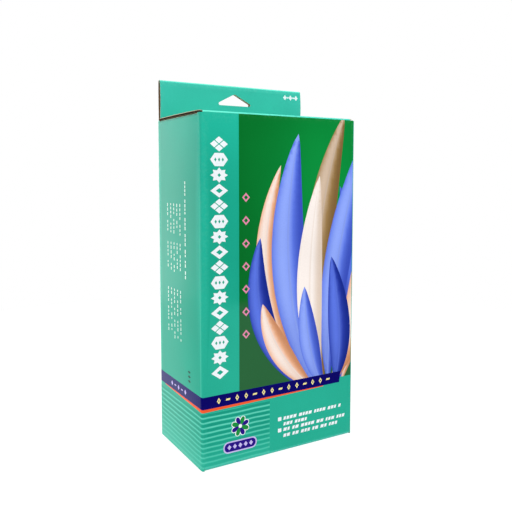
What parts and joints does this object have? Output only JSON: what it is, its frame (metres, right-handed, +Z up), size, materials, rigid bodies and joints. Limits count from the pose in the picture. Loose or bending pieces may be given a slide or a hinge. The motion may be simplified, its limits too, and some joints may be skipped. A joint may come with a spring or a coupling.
{
  "type": "folding carton with hang header",
  "caption": "Upright retail carton of fluted board, empty and closed, with a hinged tuck lid, folding flaps and a double-layer hang header.",
  "frame": {"origin": "on the surface that the carton stands on, under the middle of its overall box", "axes": "+Z up towards the header, +X to the right seen from the front, and the printed front panel faces -Y"},
  "size_m": [0.137, 0.08, 0.2905],
  "materials": {
    "printed_board": "glossy varnished print on fluted board",
    "plain_board": "bare brown kraft liner"
  },
  "bodies": {
    "carton": {"sleeve": "printed_board", "hang_header": "printed_board", "bottom_panel": "printed_board", "bottom_tuck_flap": "printed_board", "bottom_dust_flap_left": "plain_board", "bottom_dust_flap_right": "plain_board"},
    "lid": {"lid_panel": "printed_board"},
    "tuck_flap": {"tuck_flap": "printed_board"},
    "dust_flap_left": {"dust_flap_left": "plain_board"},
    "dust_flap_right": {"dust_flap_right": "plain_board"}
  },
  "joints": [
    {"name": "lid_hinge", "type": "hinge", "parent": "carton", "child": "lid", "pos_m": [0, 0.0362, 0.26], "axis": [-1, 0, 0], "range_deg": [0, 85]},
    {"name": "tuck_fold", "type": "hinge", "parent": "lid", "child": "tuck_flap", "pos_m": [0, -0.03667, 0.25778], "axis": [1, 0, 0], "range_deg": [0, 20]},
    {"name": "dust_crease_left", "type": "hinge", "parent": "carton", "child": "dust_flap_left", "pos_m": [-0.0667, 0, 0.2564], "axis": [0, 1, 0], "range_deg": [0, 75]},
    {"name": "dust_crease_right", "type": "hinge", "parent": "carton", "child": "dust_flap_right", "pos_m": [0.0667, 0, 0.2564], "axis": [0, -1, 0], "range_deg": [0, 75]}
  ]
}
